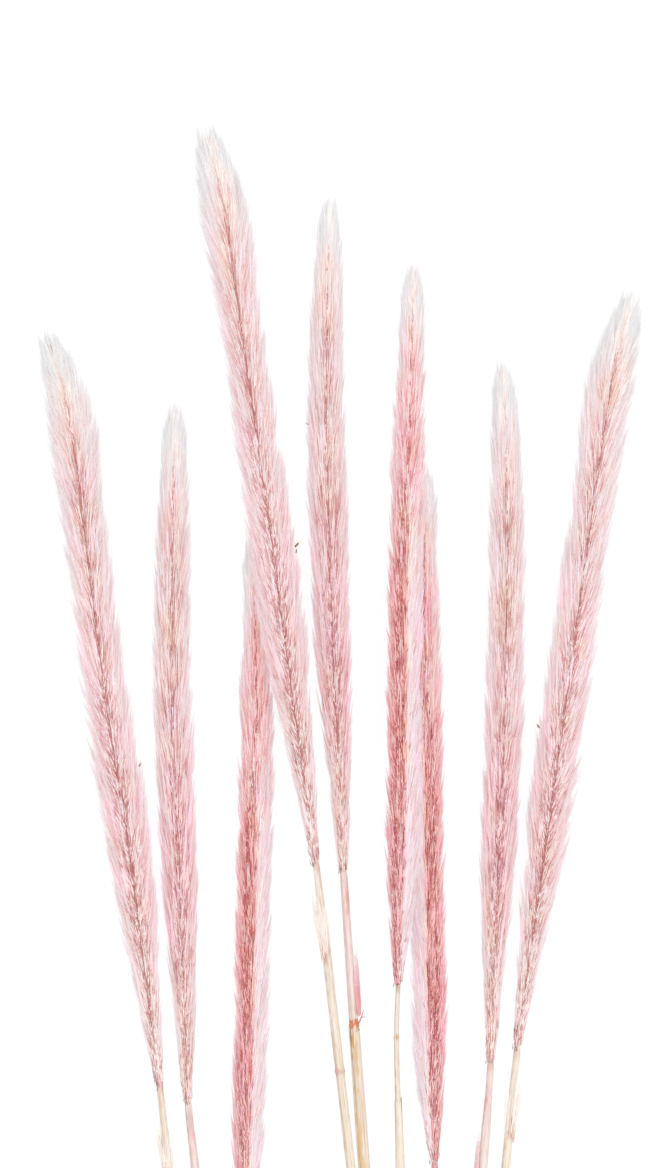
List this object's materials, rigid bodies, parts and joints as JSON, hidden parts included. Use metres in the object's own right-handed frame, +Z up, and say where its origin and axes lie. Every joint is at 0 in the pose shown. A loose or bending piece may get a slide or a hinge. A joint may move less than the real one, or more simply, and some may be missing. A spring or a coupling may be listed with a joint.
{
  "type": "bundle of fountain grass",
  "caption": "Flat fan of long feathery grass plumes on slim jointed stems, drawn together and bound with twine near their cut ends.",
  "frame": {"origin": "middle of the bundle's underside, on the surface that it lies on", "axes": "+Y along the bundle from the tie towards the plume tips, +X across the fan, +Z up from the surface"},
  "size_m": [0.3002, 0.9976, 0.0295],
  "materials": {
    "bristle": "dyed silky bristles, matt",
    "straw": "dry straw, slight sheen",
    "stained_sheath": "dry leaf sheath stained by dye",
    "twine": "rough jute"
  },
  "bodies": {
    "root": {"plume_1": "bristle", "plume_2": "bristle", "plume_3": "bristle", "plume_4": "bristle", "plume_5": "bristle", "plume_6": "bristle", "plume_7": "bristle", "plume_8": "bristle", "plume_9": "bristle", "stem_1": "straw", "stem_2": "straw", "stem_3": "straw", "stem_4": "straw", "stem_5": "straw", "stem_6": "straw", "stem_7": "straw", "stem_8": "straw", "stem_9": "straw", "sheath_5": "straw", "sheath_6": "straw", "scrap_1": "stained_sheath", "scrap_4": "stained_sheath", "scrap_5": "stained_sheath", "scrap_8": "stained_sheath", "scrap_9": "stained_sheath", "tie": "twine"}
  },
  "joints": []
}
